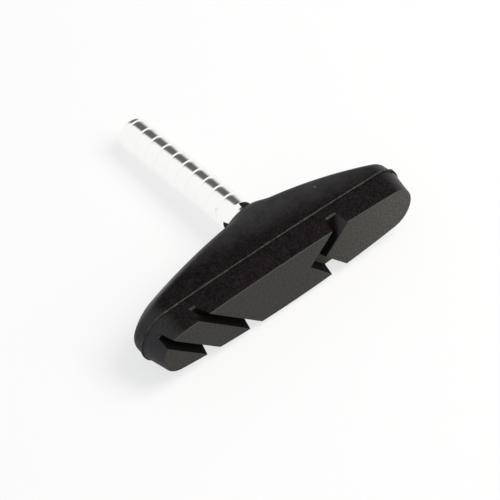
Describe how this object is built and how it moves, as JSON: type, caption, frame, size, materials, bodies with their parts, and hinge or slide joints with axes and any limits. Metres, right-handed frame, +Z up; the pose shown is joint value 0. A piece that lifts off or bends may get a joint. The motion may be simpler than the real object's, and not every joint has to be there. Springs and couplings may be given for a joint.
{
  "type": "bicycle rim brake pad",
  "caption": "Rim brake pad for a bicycle: slotted rubber block with a ridged back, moulded round a plain grooved steel post for an eye-bolt clamp.",
  "frame": {"origin": "on the post's axis, in the plane of the friction face", "axes": "+X along the pad towards its shorter arm, +Y along the post towards its tip, +Z up across the pad's width"},
  "size_m": [0.0644, 0.0509, 0.0133],
  "materials": {
    "rubber": "moulded, matt",
    "plated_steel": "turned and bright plated",
    "plate_steel": "stamped, bare"
  },
  "bodies": {
    "root": {"rubber_block": "rubber", "post": "plated_steel", "backing_plate": "plate_steel"}
  },
  "joints": []
}
